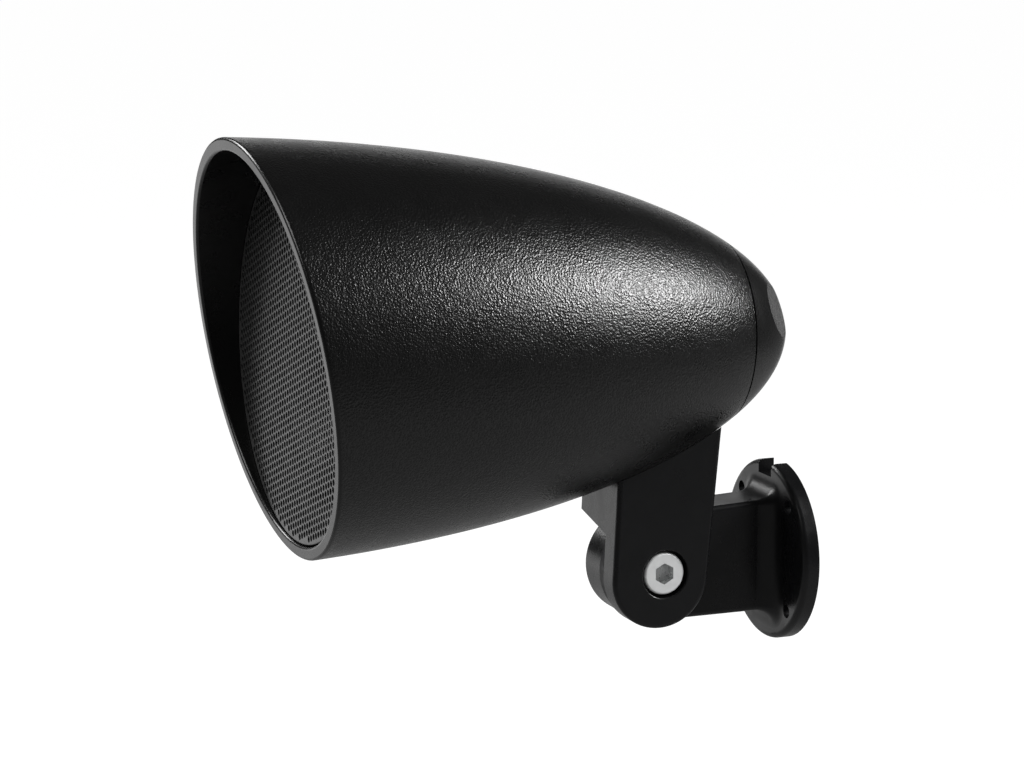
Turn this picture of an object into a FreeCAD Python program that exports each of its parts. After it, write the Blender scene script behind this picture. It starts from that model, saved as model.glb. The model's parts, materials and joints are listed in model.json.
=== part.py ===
import FreeCAD
import Part
import math
import os

# Outdoor satellite loudspeaker on a wall bracket, in millimetres.
# The body is modelled along its own axis: y is the station behind the centre of the rim, z is up.
# It is then set on the bracket's pivot. The origin is the centre of the flange's wall face,
# the front faces -Y and the bracket's screw head faces +X.

# Body skin: an ellipse turned about the body axis
SKIN_RADIUS = 71.4
SKIN_WIDEST_AHEAD = 36.4
TAIL_STATION = 189.0
SEAM_STATION = 164.6
RIM_SLANT = 9.7
RIM_ROUND = 0.9
WALL = 4.5

# Grille, its gasket and the ledge that the driver is screwed to
GRILLE_SINK = 0.6
GRILLE_SHEET = 1.2
GRILLE_HEM_DEPTH = 4.0
GRILLE_HOLE_WEB = 3.8
GRILLE_HOLE_RINGS = 5
GRILLE_BORDER = 9.0
GRILLE_GASKET_DEPTH = 2.5
GRILLE_GASKET_WIDTH = 4.0
DRIVER_GASKET_DEPTH = 2.0
LEDGE_DEPTH = 4.0
LEDGE_WIDTH = 13.0
FIT_GAP = 0.3

# Driver
BASKET_FLANGE_DEPTH = 3.0
BASKET_SHEET = 2.0
BASKET_DEPTH = 26.0
BASKET_REAR_RADIUS = 40.0
BASKET_WINDOWS = 6
BASKET_WINDOW_WIDTH = 24.0
SPIDER_SEAT_DEPTH = 2.0
SPIDER_SEAT_WIDTH = 6.0
SURROUND_WIDTH = 6.4
SURROUND_LIP = 3.0
SURROUND_THICKNESS = 0.7
CONE_THICKNESS = 0.8
CONE_DEPTH = 16.5
COIL_RADIUS = 12.5
FORMER_THICKNESS = 0.3
WINDING_THICKNESS = 0.7
WINDING_LENGTH = 10.0
MAGNET_GAP = 0.5
SPIDER_THICKNESS = 0.6
SPIDER_WAVES = 4
SPIDER_WAVE_HEIGHT = 1.2
TOP_PLATE_RADIUS = 38.0
TOP_PLATE_DEPTH = 6.0
MAGNET_RADIUS = 44.0
MAGNET_BORE_RADIUS = 18.0
MAGNET_DEPTH = 15.0
BACK_PLATE_RADIUS = 40.0
BACK_PLATE_DEPTH = 5.0
DRIVER_SCREW_RADIUS = 2.0
DRIVER_SCREW_HEAD_RADIUS = 3.6
DRIVER_SCREW_HEAD_DEPTH = 2.4
DRIVER_SCREW_LENGTH = 14.0
DRIVER_SCREWS = 4
BOSS_WALL = 2.5

# Tweeter on a post through the voice coil
POST_RADIUS = 4.0
POST_SEAT_LENGTH = 12.0
TWEETER_RADIUS = 14.0
TWEETER_DEPTH = 11.0
TWEETER_WALL = 1.6
TWEETER_MAGNET_RADIUS = 9.0
TWEETER_MAGNET_DEPTH = 4.5
DOME_RISE = 4.0
DOME_THICKNESS = 0.5

# Crossover on the back plate
STANDOFF_RADIUS = 3.0
STANDOFF_LENGTH = 8.0
BOARD_THICKNESS = 1.6
BOARD_EDGE = 4.5
COMPONENT_GAP = 2.0
BOARD_SCREW_RADIUS = 1.4
BOARD_SCREW_HEAD_RADIUS = 2.7
BOARD_SCREW_HEAD_DEPTH = 1.8
INDUCTOR_RADIUS = 11.0
INDUCTOR_BORE_RADIUS = 5.0
INDUCTOR_LENGTH = 14.0
CAPACITOR_RADIUS = 6.0
CAPACITOR_LENGTH = 24.0
RESISTOR_LENGTH = 22.0
RESISTOR_SIDE = 7.0

# Rear cap with three finger flats and a three-lug bayonet
SEAM_GAP = 0.7
CAP_WALL = 4.0
NECK_LIP_DEPTH = 5.0
NECK_LIP_WIDTH = 3.4
SPIGOT_WALL = 2.6
LUG_DEPTH = 3.6
LUG_RISE = 3.0
LUG_ANGLE = 30.0
LUG_SLOT_ANGLE = 36.0
UNLOCK_ANGLE = 40.0
LUGS = 3
FLAT_STATION = 179.0
FLAT_TILT = 53.0
FLAT_DROP = 18.9
FLATS = 3

# Pivot: place in the body, and the bracket that carries it
PIVOT_STATION = 139.6
PIVOT_DROP = 81.3
PIVOT_REACH = 52.2
PIVOT_SINK = 1.1
REST_PITCH = 1.04
ARM_WIDTH = 18.0
ARM_RISE = 20.0
ARM_EDGE_ROUND = 1.6
KNUCKLE_RADIUS = 18.9
KNUCKLE_CLEARANCE = 1.3
FLANGE_RADIUS = 31.8
FLANGE_DEPTH = 6.0
FLANGE_ROUND = 2.0
FLANGE_FILLET = 7.0
FLANGE_HOLE_SPACING = 37.0
FLANGE_HOLE_RADIUS = 2.4
NOTCH_WIDTH = 10.0
NOTCH_DEPTH = 5.0
FRICTION_DISC_DEPTH = 4.5
SLIP_GAP = 0.1

# Saddle with its one ear, screwed to the belly
EAR_TIP_RADIUS = 17.8
EAR_TIP_AHEAD = 1.5
EAR_TIP_DROP = 1.4
EAR_ROOT_WIDTH = 39.2
EAR_ROOT_AHEAD = 0.55
EAR_THICKNESS = 9.0
EAR_LEAN = 2.5
EAR_ROUND = 1.6
SADDLE_FAR_EDGE = 13.0
SADDLE_WEB_DROP = 13.5
SADDLE_WEB_RISE = 4.4
SADDLE_SEAT_GAP = 0.15
SADDLE_SCREW_RADIUS = 2.5
SADDLE_SCREW_HEAD_RADIUS = 4.6
SADDLE_SCREW_HEAD_DEPTH = 3.2
SADDLE_SCREW_BITE = 7.0
SADDLE_SCREW_SPACING = 20.0
SADDLE_PAD_RISE = 2.0

# Pivot screw and nut
SCREW_RADIUS = 4.0
SCREW_RUNNING_GAP = 0.08
SCREW_HEAD_RADIUS = 7.4
SCREW_HEAD_DEPTH = 5.0
SCREW_HEAD_SINK = 0.8
SCREW_HEAD_ROUND = 0.8
COUNTERBORE_GAP = 1.1
COUNTERBORE_ROUND = 0.4
SOCKET_FLATS = 6.6
SOCKET_DEPTH = 4.0
NUT_FLATS = 13.0
NUT_DEPTH = 6.5
NUT_POCKET_GAP = 0.2

# Cable grommet in the belly, ahead of the saddle
GROMMET_STATION = 104.0
GROMMET_ANGLE = 14.6
GROMMET_RADIUS = 5.0
GROMMET_LIP = 2.0
GROMMET_LIP_DEPTH = 1.2
GROMMET_SEAT_DEPTH = 0.8

AXIS = FreeCAD.Vector(0, 1, 0)
ACROSS = FreeCAD.Vector(1, 0, 0)
UP = FreeCAD.Vector(0, 0, 1)
CENTRE = FreeCAD.Vector(0, 0, 0)


# Shared geometry

def skin_radius(station, inset=0.0):
    share = (station + SKIN_WIDEST_AHEAD) / (TAIL_STATION + SKIN_WIDEST_AHEAD)
    return SKIN_RADIUS * math.sqrt(max(1.0 - share * share, 0.0)) - inset


def turned(profile):
    """A closed (station, radius) outline turned about the body axis."""
    points = [FreeCAD.Vector(0, station, radius) for station, radius in profile]
    face = Part.Face(Part.makePolygon(points + points[:1]))
    return face.revolve(CENTRE, AXIS, 360)


def ring(inner, outer, front, rear):
    return turned([(front, inner), (front, outer), (rear, outer), (rear, inner)])


def disc(radius, front, rear):
    return Part.makeCylinder(radius, rear - front, FreeCAD.Vector(0, front, 0), AXIS)


def along_x(radius, start, end):
    return Part.makeCylinder(radius, end - start, FreeCAD.Vector(start, 0, 0), ACROSS)


def block(low, high):
    size = FreeCAD.Vector(*high) - FreeCAD.Vector(*low)
    return Part.makeBox(size.x, size.y, size.z, FreeCAD.Vector(*low))


def around_axis(shape, angle):
    copy = shape.copy()
    copy.rotate(CENTRE, AXIS, angle)
    return copy


def skin_body(front, rear, inset):
    """The solid under the elliptical skin between two stations, drawn in by inset."""
    ellipse = Part.Ellipse(CENTRE, TAIL_STATION + SKIN_WIDEST_AHEAD - inset, SKIN_RADIUS - inset)
    half = Part.Face(Part.Wire(ellipse.toShape()))
    upper = half.common(Part.makePlane(
        rear - front, SKIN_RADIUS, FreeCAD.Vector(front + SKIN_WIDEST_AHEAD, 0, 0)))
    upper.rotate(CENTRE, UP, 90)
    upper.rotate(CENTRE, AXIS, -90)
    upper.translate(FreeCAD.Vector(0, -SKIN_WIDEST_AHEAD, 0))
    return upper.revolve(CENTRE, AXIS, 360).Solids[0]


def sector(inner, outer, front, rear, angle):
    """Part of a ring, angle wide and centred on straight up."""
    face = Part.Face(Part.makePolygon([
        FreeCAD.Vector(0, front, inner), FreeCAD.Vector(0, front, outer),
        FreeCAD.Vector(0, rear, outer), FreeCAD.Vector(0, rear, inner),
        FreeCAD.Vector(0, front, inner)]))
    face.rotate(CENTRE, AXIS, -angle / 2)
    return face.revolve(CENTRE, AXIS, angle)


def hexagon(flats, start, end):
    """A hexagonal bar along X with corners up and down."""
    corner = flats / math.sqrt(3)
    points = []
    for k in range(7):
        turn = math.radians(60 * k)
        points.append(FreeCAD.Vector(start, corner * math.sin(turn), corner * math.cos(turn)))
    return Part.Face(Part.makePolygon(points)).extrude(FreeCAD.Vector(end - start, 0, 0))


# Stations and radii that several pieces share

grille_station = skin_radius(0.0, WALL) * math.tan(math.radians(RIM_SLANT)) + GRILLE_SINK
grille_radius = skin_radius(grille_station + GRILLE_HEM_DEPTH, WALL) - FIT_GAP
hole_pitch = (grille_radius - GRILLE_BORDER) / GRILLE_HOLE_RINGS
hole_radius = (hole_pitch - GRILLE_HOLE_WEB) / 2
flange_front = grille_station + GRILLE_HEM_DEPTH + GRILLE_GASKET_DEPTH
flange_rear = flange_front + BASKET_FLANGE_DEPTH
ledge_front = flange_rear + DRIVER_GASKET_DEPTH
ledge_rear = ledge_front + LEDGE_DEPTH
seat_radius = skin_radius(ledge_rear, WALL)
ledge_radius = seat_radius - LEDGE_WIDTH
flange_radius = seat_radius - FIT_GAP
basket_mouth = ledge_radius - FIT_GAP
basket_rear = flange_rear + BASKET_DEPTH
screw_circle = grille_radius - GRILLE_GASKET_WIDTH - FIT_GAP - DRIVER_SCREW_HEAD_RADIUS
surround_outer = basket_mouth - BASKET_SHEET
cone_radius = surround_outer - SURROUND_WIDTH
cone_front = flange_front
former_outer = COIL_RADIUS + FORMER_THICKNESS
winding_outer = former_outer + WINDING_THICKNESS
plate_rear = basket_rear + TOP_PLATE_DEPTH
magnet_rear = plate_rear + MAGNET_DEPTH
yoke_rear = magnet_rear + BACK_PLATE_DEPTH
pole_radius = COIL_RADIUS - FIT_GAP
pole_front = basket_rear
neck_front = cone_front + CONE_DEPTH
coil_rear = (basket_rear + plate_rear + WINDING_LENGTH) / 2
spider_station = (neck_front + basket_rear) / 2
board_front = yoke_rear + STANDOFF_LENGTH
board_rear = board_front + BOARD_THICKNESS
inductor_place = RESISTOR_SIDE / 2 + COMPONENT_GAP + INDUCTOR_RADIUS
capacitor_place = RESISTOR_SIDE / 2 + COMPONENT_GAP + CAPACITOR_RADIUS
tallest_component = max(2 * INDUCTOR_RADIUS, CAPACITOR_LENGTH, RESISTOR_LENGTH)
widest_reach = max(inductor_place + INDUCTOR_RADIUS, capacitor_place + CAPACITOR_RADIUS)
board_screw_height = tallest_component / 2 + COMPONENT_GAP + BOARD_SCREW_HEAD_RADIUS
board_half_height = board_screw_height + BOARD_EDGE
board_half_width = widest_reach + COMPONENT_GAP
neck_radius = skin_radius(SEAM_STATION, WALL) - NECK_LIP_WIDTH
spigot_radius = neck_radius - FIT_GAP
lug_front = SEAM_STATION - NECK_LIP_DEPTH - SLIP_GAP - LUG_DEPTH
ear_inner = ARM_WIDTH / 2 + SLIP_GAP
ear_outer = ear_inner + EAR_THICKNESS
belly = skin_body(0.0, SEAM_STATION, -SADDLE_SEAT_GAP)


def basket_outer(station):
    share = (station - flange_rear) / BASKET_DEPTH
    return basket_mouth + share * (BASKET_REAR_RADIUS - basket_mouth)


def spread(count, radius, first=45.0):
    """Places on a circle round the body axis, as (x, z)."""
    turns = [math.radians(first + 360.0 * k / count) for k in range(count)]
    return [(radius * math.cos(t), radius * math.sin(t)) for t in turns]


def saddle_screw_places():
    return [PIVOT_STATION - SADDLE_SCREW_SPACING / 2, PIVOT_STATION + SADDLE_SCREW_SPACING / 2]


def saddle_boss_top(station):
    """Height of the flat pad inside the shell under a saddle screw's head."""
    ahead = station + SADDLE_SCREW_HEAD_RADIUS + FIT_GAP
    return SADDLE_PAD_RISE - skin_radius(ahead, WALL)


def on_belly(shape):
    """Sets a shape on the belly at the grommet: its z = 0 is the skin and outside is down."""
    fall = skin_radius(GROMMET_STATION) - skin_radius(GROMMET_STATION + 1)
    shape.rotate(CENTRE, ACROSS, math.degrees(math.atan(fall)))
    shape.translate(FreeCAD.Vector(0, GROMMET_STATION, -skin_radius(GROMMET_STATION)))
    return around_axis(shape, GROMMET_ANGLE)


# Shell: one moulding from the slanted rim to the cap's seam

def make_shell():
    front = -SKIN_WIDEST_AHEAD
    shell = skin_body(front, SEAM_STATION, 0.0)
    shell = shell.cut(skin_body(front, SEAM_STATION, WALL))
    lead = SKIN_RADIUS * 2
    mouth = block((-lead, -2 * lead, -lead), (lead, 0, lead))
    mouth.rotate(CENTRE, ACROSS, RIM_SLANT)
    shell = shell.cut(mouth)
    facing = FreeCAD.Rotation(ACROSS, RIM_SLANT).multVec(AXIS)
    rim = [edge for edge in shell.Edges if abs(edge.CenterOfMass.dot(facing)) < SLIP_GAP]
    shell = shell.makeFillet(RIM_ROUND, rim)
    room = skin_body(0.0, SEAM_STATION, WALL)
    ledge = ring(ledge_radius, SKIN_RADIUS, ledge_front, ledge_rear).common(room)
    lip = ring(neck_radius, SKIN_RADIUS, SEAM_STATION - NECK_LIP_DEPTH, SEAM_STATION).common(room)
    for k in range(LUGS):
        slot = sector(neck_radius - 1, spigot_radius + LUG_RISE + FIT_GAP,
                      SEAM_STATION - NECK_LIP_DEPTH - 1, SEAM_STATION + 1, LUG_SLOT_ANGLE)
        lip = lip.cut(around_axis(slot, 360.0 * k / LUGS + UNLOCK_ANGLE))
    bosses = []
    for x, z in spread(DRIVER_SCREWS, screw_circle):
        place = FreeCAD.Vector(x, ledge_rear, z)
        length = DRIVER_SCREW_LENGTH - BASKET_FLANGE_DEPTH - DRIVER_GASKET_DEPTH
        bosses.append(Part.makeCylinder(DRIVER_SCREW_RADIUS + BOSS_WALL, length, place, AXIS))
    for station in saddle_screw_places():
        reach = skin_radius(station) - SADDLE_SEAT_GAP
        foot = FreeCAD.Vector(0, station, -reach)
        height = saddle_boss_top(station) + reach
        radius = SADDLE_SCREW_HEAD_RADIUS + FIT_GAP
        bosses.append(Part.makeCylinder(radius, height, foot, UP).common(room))
    shell = shell.fuse([ledge, lip] + [boss.common(room) for boss in bosses]).removeSplitter()
    for x, z in spread(DRIVER_SCREWS, screw_circle):
        place = FreeCAD.Vector(x, ledge_front - 1, z)
        shell = shell.cut(Part.makeCylinder(DRIVER_SCREW_RADIUS, DRIVER_SCREW_LENGTH, place, AXIS))
    for station in saddle_screw_places():
        foot = FreeCAD.Vector(0, station, -SKIN_RADIUS)
        shell = shell.cut(Part.makeCylinder(SADDLE_SCREW_RADIUS, SKIN_RADIUS, foot, UP))
    seat = Part.makeCylinder(GROMMET_RADIUS + GROMMET_LIP + FIT_GAP, 2 * WALL,
                             FreeCAD.Vector(0, 0, GROMMET_SEAT_DEPTH - 2 * WALL), UP)
    bore = Part.makeCylinder(GROMMET_RADIUS, 4 * WALL, FreeCAD.Vector(0, 0, -2 * WALL), UP)
    return shell.cut(on_belly(seat.fuse(bore)))


def make_grille():
    """Perforated sheet with a hemmed edge, pressed into the hood."""
    rear = grille_station + GRILLE_HEM_DEPTH
    sheet = turned([
        (grille_station, 0), (grille_station, grille_radius), (rear, grille_radius),
        (rear, grille_radius - GRILLE_SHEET),
        (grille_station + GRILLE_SHEET, grille_radius - GRILLE_SHEET),
        (grille_station + GRILLE_SHEET, 0)])
    holes = []
    for row in range(-GRILLE_HOLE_RINGS, GRILLE_HOLE_RINGS + 1):
        count = 2 * GRILLE_HOLE_RINGS + 1 - abs(row)
        for k in range(count):
            x = (k - (count - 1) / 2) * hole_pitch
            z = row * hole_pitch * math.sqrt(3) / 2
            place = FreeCAD.Vector(x, grille_station - 1, z)
            holes.append(Part.makeCylinder(hole_radius, GRILLE_SHEET + 2, place, AXIS))
    return sheet.cut(holes)


def make_grille_gasket():
    rear = flange_front
    front = rear - GRILLE_GASKET_DEPTH
    return ring(grille_radius - GRILLE_GASKET_WIDTH, grille_radius, front, rear)


# Driver

def make_driver_gasket():
    gasket = ring(ledge_radius, flange_radius, flange_rear, ledge_front)
    return gasket.cut(driver_screw_shanks(FIT_GAP))


def driver_screw_shanks(grow):
    shanks = []
    for x, z in spread(DRIVER_SCREWS, screw_circle):
        place = FreeCAD.Vector(x, flange_front, z)
        radius = DRIVER_SCREW_RADIUS + grow
        shanks.append(Part.makeCylinder(radius, DRIVER_SCREW_LENGTH, place, AXIS))
    return shanks


def make_driver_screws():
    screws = []
    for shank, (x, z) in zip(driver_screw_shanks(-SLIP_GAP), spread(DRIVER_SCREWS, screw_circle)):
        place = FreeCAD.Vector(x, flange_front - DRIVER_SCREW_HEAD_DEPTH, z)
        head = Part.makeCylinder(DRIVER_SCREW_HEAD_RADIUS, DRIVER_SCREW_HEAD_DEPTH, place, AXIS)
        screws.append(shank.fuse(head).removeSplitter())
    return Part.makeCompound(screws)


def make_basket():
    """Cast frame: flange, open cone with spokes, a step for the spider and a rear plate."""
    step_rear = spider_station + SPIDER_SEAT_DEPTH
    inner_rear = basket_rear - BASKET_SHEET
    frame = turned([
        (flange_front, surround_outer), (flange_front, flange_radius), (flange_rear, flange_radius),
        (flange_rear, basket_mouth), (basket_rear, BASKET_REAR_RADIUS),
        (basket_rear, winding_outer + MAGNET_GAP), (inner_rear, winding_outer + MAGNET_GAP),
        (inner_rear, basket_outer(inner_rear) - BASKET_SHEET),
        (step_rear, basket_outer(step_rear) - BASKET_SHEET),
        (step_rear, basket_outer(step_rear) - BASKET_SHEET - SPIDER_SEAT_WIDTH),
        (spider_station, basket_outer(step_rear) - BASKET_SHEET - SPIDER_SEAT_WIDTH),
        (spider_station, basket_outer(spider_station) - BASKET_SHEET),
        (flange_rear, surround_outer)])
    half = BASKET_WINDOW_WIDTH / 2
    window_front = ledge_rear + BASKET_SHEET
    window_rear = spider_station - BASKET_SHEET
    for k in range(BASKET_WINDOWS):
        window = block((-half, window_front, 0), (half, window_rear, SKIN_RADIUS))
        frame = frame.cut(around_axis(window, 360.0 * (k + 0.5) / BASKET_WINDOWS))
    return frame.cut(driver_screw_shanks(FIT_GAP))


def make_cone():
    lip = SURROUND_LIP
    neck = former_outer + SLIP_GAP / 2
    return turned([
        (cone_front, cone_radius), (cone_front, cone_radius - lip),
        (neck_front, neck), (neck_front + 2 * CONE_THICKNESS, neck),
        (neck_front + 2 * CONE_THICKNESS, neck + CONE_THICKNESS),
        (cone_front + CONE_THICKNESS, cone_radius - lip + CONE_THICKNESS),
        (cone_front + CONE_THICKNESS, cone_radius)])


def make_surround():
    """Half-round rubber roll between the cone and the basket, with a glued lip each side."""
    middle = (surround_outer + cone_radius) / 2
    roll = (surround_outer - cone_radius) / 2
    rear = cone_front - SLIP_GAP
    front = rear - SURROUND_THICKNESS
    inner = roll - SURROUND_THICKNESS

    def arc(radius):
        start = FreeCAD.Vector(0, front, middle - radius)
        top = FreeCAD.Vector(0, front - radius, middle)
        end = FreeCAD.Vector(0, front, middle + radius)
        return Part.Arc(start, top, end).toShape()

    def line(a, b):
        return Part.makeLine(FreeCAD.Vector(0, *a), FreeCAD.Vector(0, *b))

    outer_lip = surround_outer + SURROUND_LIP
    inner_lip = cone_radius - SURROUND_LIP
    edges = [
        line((rear, inner_lip), (front, inner_lip)), line((front, inner_lip), (front, middle - roll)),
        arc(roll), line((front, middle + roll), (front, outer_lip)),
        line((front, outer_lip), (rear, outer_lip)), line((rear, outer_lip), (rear, middle + inner)),
        line((rear, middle + inner), (front, middle + inner)), arc(inner),
        line((front, middle - inner), (rear, middle - inner)),
        line((rear, middle - inner), (rear, inner_lip))]
    wire = Part.Wire(Part.__sortEdges__(edges))
    return Part.Face(wire).revolve(CENTRE, AXIS, 360)


def make_spider():
    """Corrugated cloth disc that centres the voice coil."""
    inner = former_outer + SLIP_GAP / 2
    outer = basket_outer(spider_station) - BASKET_SHEET - FIT_GAP
    span = outer - SPIDER_SEAT_WIDTH - inner
    rear = spider_station - SLIP_GAP
    crest = rear - SPIDER_WAVE_HEIGHT
    line = [(rear, inner)]
    for k in range(2 * SPIDER_WAVES):
        radius = inner + span * (k + 1) / (2 * SPIDER_WAVES + 1)
        line.append((crest if k % 2 else rear, radius))
    line += [(rear, inner + span), (rear, outer)]
    front = [(station - SPIDER_THICKNESS, radius) for station, radius in reversed(line)]
    return turned(line + front)


def make_voice_coil():
    wound_front = coil_rear - WINDING_LENGTH
    return turned([
        (neck_front, COIL_RADIUS), (neck_front, former_outer), (wound_front, former_outer),
        (wound_front, winding_outer), (coil_rear, winding_outer), (coil_rear, COIL_RADIUS)])


def make_top_plate():
    return ring(winding_outer + MAGNET_GAP, TOP_PLATE_RADIUS, basket_rear, plate_rear)


def make_magnet():
    return ring(MAGNET_BORE_RADIUS, MAGNET_RADIUS, plate_rear, magnet_rear)


def make_pole_piece():
    """Back plate and pole in one, drilled for the tweeter's post."""
    bore_rear = pole_front + POST_SEAT_LENGTH
    return turned([
        (bore_rear, 0), (bore_rear, POST_RADIUS), (pole_front, POST_RADIUS),
        (pole_front, pole_radius), (magnet_rear, pole_radius), (magnet_rear, BACK_PLATE_RADIUS),
        (yoke_rear, BACK_PLATE_RADIUS), (yoke_rear, 0)])


# Tweeter

tweeter_front = cone_front
cup_rear = tweeter_front + TWEETER_DEPTH


def make_tweeter_housing():
    floor = cup_rear - TWEETER_WALL
    bore = TWEETER_RADIUS - TWEETER_WALL
    post = POST_RADIUS - SLIP_GAP / 2
    return turned([
        (floor, 0), (floor, bore), (tweeter_front, bore), (tweeter_front, TWEETER_RADIUS),
        (cup_rear, TWEETER_RADIUS), (cup_rear, post), (pole_front + POST_SEAT_LENGTH, post),
        (pole_front + POST_SEAT_LENGTH, 0)])


def make_tweeter_magnet():
    floor = cup_rear - TWEETER_WALL
    return disc(TWEETER_MAGNET_RADIUS, floor - TWEETER_MAGNET_DEPTH, floor)


def make_tweeter_dome():
    """Moulded diaphragm: a dome with a flat edge that is glued to the cup's rim."""
    edge = TWEETER_RADIUS
    base = tweeter_front
    foot = TWEETER_RADIUS - 2 * TWEETER_WALL
    outer = (foot * foot + DOME_RISE * DOME_RISE) / (2 * DOME_RISE)
    crown = base - DOME_THICKNESS - DOME_RISE
    ball = Part.makeSphere(outer, FreeCAD.Vector(0, crown + outer, 0))
    inner = Part.makeSphere(outer - DOME_THICKNESS, FreeCAD.Vector(0, crown + outer, 0))
    dome = ball.cut(inner).common(disc(edge, crown - 1, base))
    return dome.fuse(ring(foot - DOME_THICKNESS, edge, base - DOME_THICKNESS, base)).removeSplitter()


# Crossover

def board_places():
    x = board_half_width - BOARD_EDGE
    z = board_screw_height
    return [(-x, -z), (x, -z), (x, z), (-x, z)]


def make_crossover_board():
    board = block((-board_half_width, board_front, -board_half_height),
                  (board_half_width, board_rear, board_half_height))
    for x, z in board_places():
        place = FreeCAD.Vector(x, board_front - 1, z)
        board = board.cut(Part.makeCylinder(BOARD_SCREW_RADIUS + SLIP_GAP, 2 + BOARD_THICKNESS, place, AXIS))
    return board


def make_board_standoffs():
    posts = []
    for x, z in board_places():
        place = FreeCAD.Vector(x, yoke_rear, z)
        post = Part.makeCylinder(STANDOFF_RADIUS, STANDOFF_LENGTH, place, AXIS)
        start = FreeCAD.Vector(x, yoke_rear + 1, z)
        bore = Part.makeCylinder(BOARD_SCREW_RADIUS, STANDOFF_LENGTH, start, AXIS)
        posts.append(post.cut(bore))
    return Part.makeCompound(posts)


def make_board_screws():
    screws = []
    for x, z in board_places():
        length = STANDOFF_LENGTH / 2 + BOARD_THICKNESS
        place = FreeCAD.Vector(x, board_rear - length, z)
        shank = Part.makeCylinder(BOARD_SCREW_RADIUS - SLIP_GAP, length, place, AXIS)
        place = FreeCAD.Vector(x, board_rear, z)
        head = Part.makeCylinder(BOARD_SCREW_HEAD_RADIUS, BOARD_SCREW_HEAD_DEPTH, place, AXIS)
        screws.append(shank.fuse(head).removeSplitter())
    return Part.makeCompound(screws)


def make_inductor():
    winding = ring(INDUCTOR_BORE_RADIUS, INDUCTOR_RADIUS, board_rear, board_rear + INDUCTOR_LENGTH)
    winding.translate(FreeCAD.Vector(-inductor_place, 0, 0))
    return winding


def make_capacitor():
    station = board_rear + CAPACITOR_RADIUS + SLIP_GAP
    place = FreeCAD.Vector(capacitor_place, station, -CAPACITOR_LENGTH / 2)
    return Part.makeCylinder(CAPACITOR_RADIUS, CAPACITOR_LENGTH, place, UP)


def make_resistor():
    half = RESISTOR_SIDE / 2
    end = RESISTOR_LENGTH / 2
    return block((-half, board_rear, -end), (half, board_rear + RESISTOR_SIDE, end))


# Rear cap

def make_rear_cap():
    front = SEAM_STATION + SEAM_GAP
    spigot_front = lug_front - FIT_GAP
    cap = skin_body(front, TAIL_STATION, 0.0)
    for k in range(FLATS):
        reach = SKIN_RADIUS
        flat = block((-reach, -reach, -2 * reach), (reach, reach, 0))
        flat.rotate(CENTRE, ACROSS, FLAT_TILT)
        flat.translate(FreeCAD.Vector(0, FLAT_STATION, -FLAT_DROP))
        cap = cap.cut(around_axis(flat, 360.0 * k / FLATS))
    hollow = skin_body(front, TAIL_STATION - CAP_WALL, 2 * CAP_WALL)
    cap = cap.cut(hollow)
    cap = cap.fuse(ring(spigot_radius - SPIGOT_WALL, spigot_radius, spigot_front, front + CAP_WALL))
    for k in range(LUGS):
        lug = sector(spigot_radius - SPIGOT_WALL / 2, spigot_radius + LUG_RISE,
                     lug_front, lug_front + LUG_DEPTH, LUG_ANGLE)
        cap = cap.fuse(around_axis(lug, 360.0 * k / LUGS))
    return cap.removeSplitter()


def make_cap_seal():
    outer = skin_radius(SEAM_STATION, WALL / 2)
    return ring(spigot_radius + SLIP_GAP, outer, SEAM_STATION + SLIP_GAP, SEAM_STATION + SEAM_GAP)


# Saddle, modelled about the pivot and then moved under the belly

def to_pivot(shape):
    shape.translate(FreeCAD.Vector(0, PIVOT_STATION, -PIVOT_DROP))
    return shape


def ear_outline(top):
    """The ear's side view about the pivot: a round tip and two tangent sides that lean back."""
    middle = FreeCAD.Vector(0, -EAR_TIP_AHEAD, -EAR_TIP_DROP)
    lean = top * math.tan(math.radians(EAR_LEAN)) - EAR_ROOT_AHEAD
    corners = []
    touches = []
    for side in (-1, 1):
        corner = FreeCAD.Vector(0, lean + side * EAR_ROOT_WIDTH / 2, top)
        away = corner - middle
        turn = math.atan2(away.z, away.y) + side * -math.acos(EAR_TIP_RADIUS / away.Length)
        corners.append(corner)
        touches.append(middle + FreeCAD.Vector(0, math.cos(turn), math.sin(turn)) * EAR_TIP_RADIUS)
    low = middle - UP * EAR_TIP_RADIUS
    return Part.Wire([
        Part.makeLine(corners[0], touches[0]), Part.Arc(touches[0], low, touches[1]).toShape(),
        Part.makeLine(touches[1], corners[1]), Part.makeLine(corners[1], corners[0])])


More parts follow.
